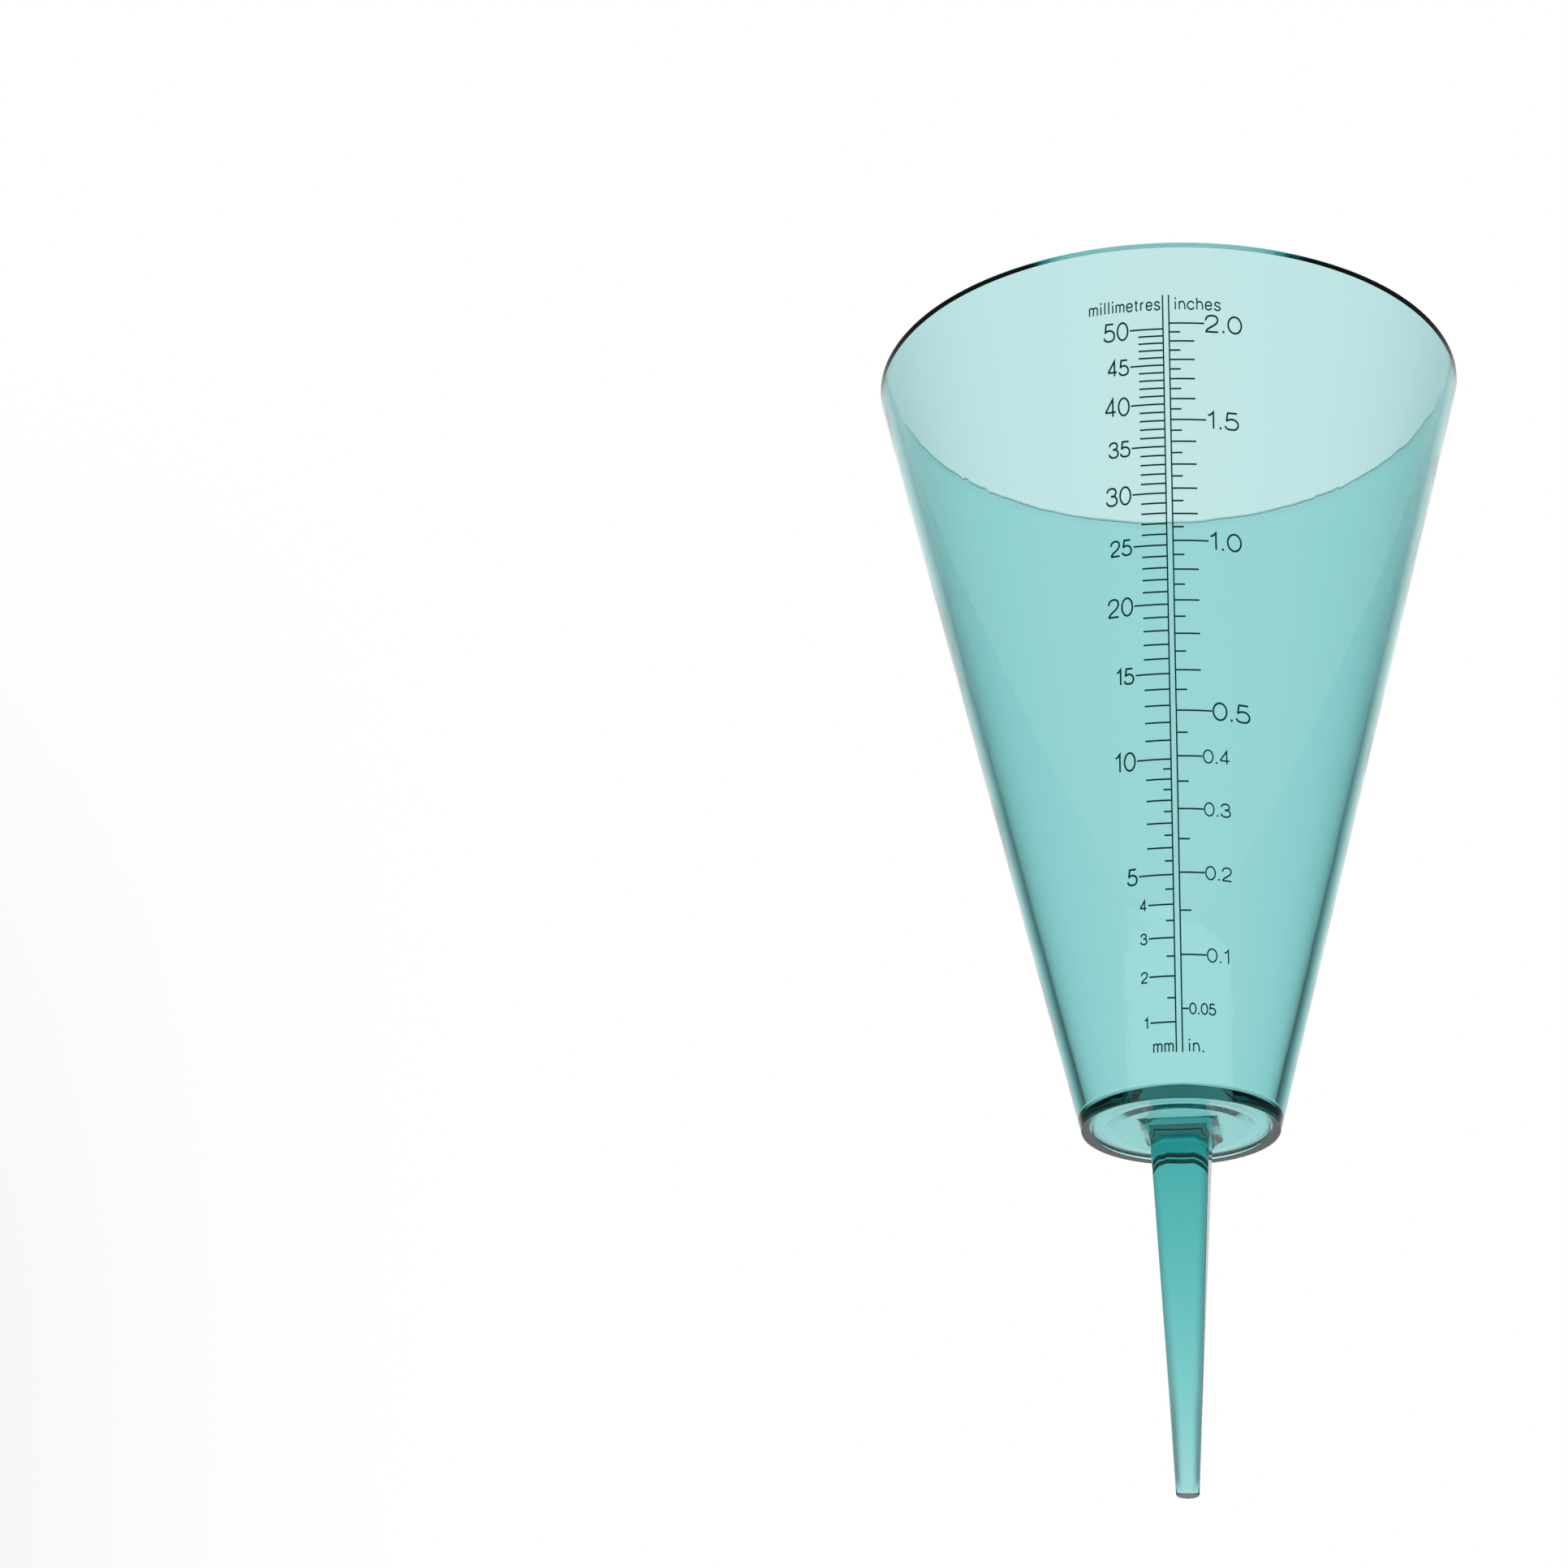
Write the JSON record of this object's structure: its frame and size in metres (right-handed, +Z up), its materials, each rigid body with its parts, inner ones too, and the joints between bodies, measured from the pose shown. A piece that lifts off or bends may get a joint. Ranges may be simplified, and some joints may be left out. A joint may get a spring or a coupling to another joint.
{
  "type": "manual rain gauge",
  "caption": "Clear tinted conical rain gauge, open at the top, with printed millimetre and inch scales and a stake to push into soil.",
  "frame": {"origin": "middle of the foot ring's lower face, which is ground level when the stake is pushed in", "axes": "+Z up along the cone's axis towards the open mouth; the printed scale faces -Y"},
  "size_m": [0.1015, 0.1015, 0.1995],
  "materials": {
    "tinted_plastic": "clear, smooth, glossy, tinted blue-green through its thickness",
    "printing_ink": "thin screen-printed ink, dark green"
  },
  "bodies": {
    "root": {"measuring_cone": "tinted_plastic", "ground_spike": "tinted_plastic", "scale_centre_lines": "printing_ink", "mm_graduations": "printing_ink", "mm_numerals": "printing_ink", "inch_graduations": "printing_ink", "inch_numerals": "printing_ink", "unit_captions": "printing_ink"}
  },
  "joints": []
}
